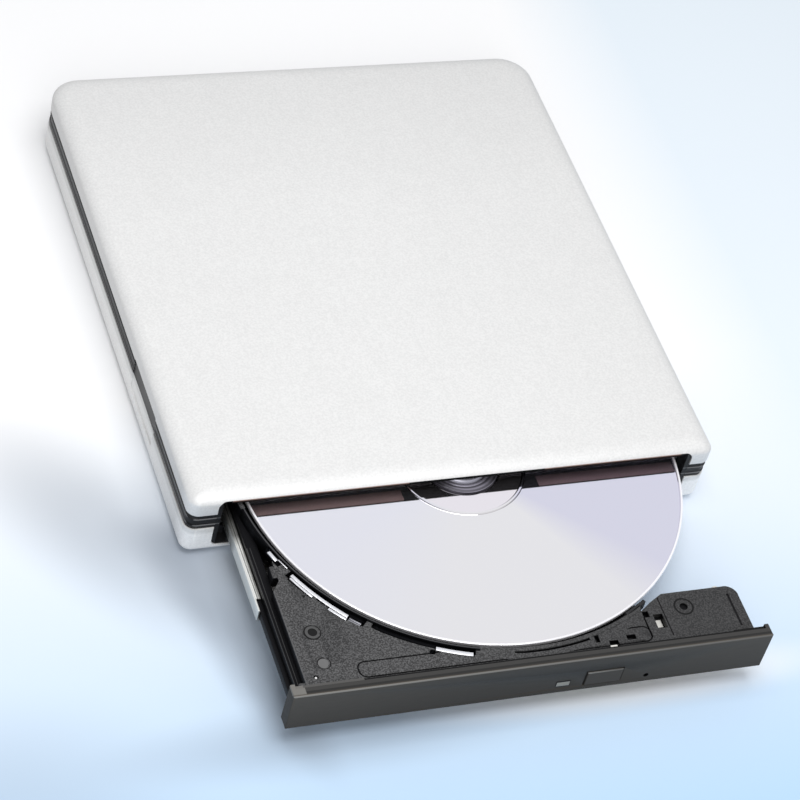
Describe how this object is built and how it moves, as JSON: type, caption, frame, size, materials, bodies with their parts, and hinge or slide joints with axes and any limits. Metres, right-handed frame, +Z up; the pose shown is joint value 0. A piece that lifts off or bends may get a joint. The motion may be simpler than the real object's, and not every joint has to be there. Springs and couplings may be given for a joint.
{
  "type": "external optical disc drive",
  "caption": "Slim external disc drive: pillowed metal case with a black band and a slide-out tray that carries a disc on its spindle, a laser pickup and a front bezel with eject button.",
  "frame": {"origin": "under the middle of the whole object as pictured, tray part-open, on the plane of the feet", "axes": "+X to the right seen from the front, +Y from the tray's bezel towards the back of the case, +Z up"},
  "size_m": [0.1454, 0.2196, 0.0208],
  "materials": {
    "silver_alloy": "fine blasted, clear anodised",
    "black_frame": "satin",
    "tray_black": "fine speckled texture",
    "bezel_grey": "fine texture",
    "foot_rubber": "matt",
    "sheet_steel": "rolled",
    "bright_steel": "polished",
    "screw_steel": "plated",
    "board_green": "lacquered",
    "chip_black": "moulded",
    "socket_black": "moulded",
    "white_plastic": "moulded",
    "cable_white": "film",
    "clear_window": "clear",
    "lens_glass": "coated",
    "disc_mirror": "mirror layer under clear plastic",
    "grey_rubber": "soft",
    "magnet_metal": "plated",
    "alloy_casting": "cast",
    "copper_coil": "wound"
  },
  "bodies": {
    "case": {"top_cover": "silver_alloy", "bottom_cover": "silver_alloy", "middle_frame": "black_frame", "rubber_feet": "foot_rubber", "case_screws": "screw_steel", "bridge_board": "board_green", "bridge_chips": "chip_black", "bridge_screws": "screw_steel", "bridge_socket": "socket_black", "usb_socket": "bright_steel", "drive_pan": "sheet_steel", "drive_lid": "sheet_steel", "lid_screws": "screw_steel", "main_board": "board_green", "main_chips": "chip_black", "drive_plug": "socket_black", "ribbon_cable": "cable_white", "catch_pin": "bright_steel", "left_rail_guide": "white_plastic", "right_rail_guide": "white_plastic"},
    "left_rail": {"left_rail": "bright_steel"},
    "right_rail": {"right_rail": "bright_steel"},
    "tray": {"tray": "tray_black", "steel_clips": "bright_steel", "tray_shield": "sheet_steel", "shield_screws": "screw_steel", "bezel": "bezel_grey", "led_lens": "clear_window", "button_board": "board_green", "status_lamp": "white_plastic", "switch_body": "sheet_steel", "spindle_motor": "copper_coil", "traverse_chassis": "sheet_steel", "rubber_dampers": "grey_rubber", "guide_rods": "bright_steel", "feed_motor": "sheet_steel", "solenoid": "sheet_steel", "ejector_spring": "bright_steel"},
    "eject_button": {"eject_button": "bezel_grey"},
    "switch_plunger": {"switch_plunger": "socket_black"},
    "rotor": {"turntable": "bright_steel", "turntable_pad": "grey_rubber", "dvd_disc": "disc_mirror"},
    "hub_claw_1": {"hub_claw_1": "white_plastic"},
    "hub_claw_2": {"hub_claw_2": "white_plastic"},
    "hub_claw_3": {"hub_claw_3": "white_plastic"},
    "pickup": {"pickup_sled": "alloy_casting", "actuator_magnets": "magnet_metal", "laser_module": "copper_coil"},
    "lens": {"lens_holder": "socket_black", "objective_lens": "lens_glass"},
    "lead_screw": {"lead_screw": "bright_steel"},
    "latch": {"latch_lever": "white_plastic"},
    "solenoid_plunger": {"solenoid_plunger": "bright_steel"},
    "ejector": {"ejector_plunger": "white_plastic"}
  },
  "joints": [
    {"name": "tray_slide", "type": "slide", "parent": "case", "child": "tray", "axis": [0, -1, 0], "range_m": [-0.0609, 0.07]},
    {"name": "left_rail_slide", "type": "slide", "parent": "case", "child": "left_rail", "axis": [0, -1, 0], "range_m": [-0.03411, 0.03921]},
    {"name": "right_rail_slide", "type": "slide", "parent": "case", "child": "right_rail", "axis": [0, -1, 0], "range_m": [-0.03411, 0.03921]},
    {"name": "spindle_spin", "type": "hinge", "parent": "tray", "child": "rotor", "pos_m": [0.00265, -0.04075, 0.0144], "axis": [0, 0, 1], "continuous": true},
    {"name": "hub_claw_1_press", "type": "slide", "parent": "rotor", "child": "hub_claw_1", "axis": [0, -1, 0], "range_m": [0, 0.0006], "stiffness_N_per_m": 1200, "springref_m": -0.0002},
    {"name": "hub_claw_2_press", "type": "slide", "parent": "rotor", "child": "hub_claw_2", "axis": [0.866, 0.5, 0], "range_m": [0, 0.0006], "stiffness_N_per_m": 1200, "springref_m": -0.0002},
    {"name": "hub_claw_3_press", "type": "slide", "parent": "rotor", "child": "hub_claw_3", "axis": [-0.866, 0.5, 0], "range_m": [0, 0.0006], "stiffness_N_per_m": 1200, "springref_m": -0.0002},
    {"name": "pickup_slide", "type": "slide", "parent": "tray", "child": "pickup", "axis": [-0.7071, -0.7071, 0], "range_m": [-0.006, 0.027]},
    {"name": "lens_focus", "type": "slide", "parent": "pickup", "child": "lens", "axis": [0, 0, 1], "range_m": [-0.00035, 0.00035], "stiffness_N_per_m": 60},
    {"name": "lead_screw_spin", "type": "hinge", "parent": "tray", "child": "lead_screw", "pos_m": [-0.00492, -0.07561, 0.0113], "axis": [-0.7071, -0.7071, 0], "range_deg": [-721, 3241]},
    {"name": "eject_button_press", "type": "slide", "parent": "tray", "child": "eject_button", "axis": [0, 1, 0], "range_m": [0, 0.00035], "stiffness_N_per_m": 700, "springref_m": -0.0002},
    {"name": "switch_plunger_press", "type": "slide", "parent": "tray", "child": "switch_plunger", "axis": [0, 1, 0], "range_m": [0, 0.00035]},
    {"name": "latch_swing", "type": "hinge", "parent": "tray", "child": "latch", "pos_m": [0.04515, -0.09595, 0.0126], "axis": [0, 0, 1], "range_deg": [-20, 0]},
    {"name": "solenoid_pull", "type": "slide", "parent": "tray", "child": "solenoid_plunger", "axis": [1, 0, 0], "range_m": [-0.0016, 0]},
    {"name": "ejector_push", "type": "slide", "parent": "tray", "child": "ejector", "axis": [0, 1, 0], "range_m": [-0.0026, 0], "stiffness_N_per_m": 400, "springref_m": 0.003, "deforming": ["ejector_spring"]}
  ],
  "couplings": [
    {"joint": "left_rail_slide", "follows": "tray_slide", "ratio": 0.56},
    {"joint": "right_rail_slide", "follows": "tray_slide", "ratio": 0.56},
    {"joint": "lead_screw_spin", "follows": "pickup_slide", "rad_per_m": 2094.4},
    {"joint": "switch_plunger_press", "follows": "eject_button_press", "ratio": 1},
    {"joint": "latch_swing", "follows": "solenoid_pull", "rad_per_m": 217.39}
  ]
}
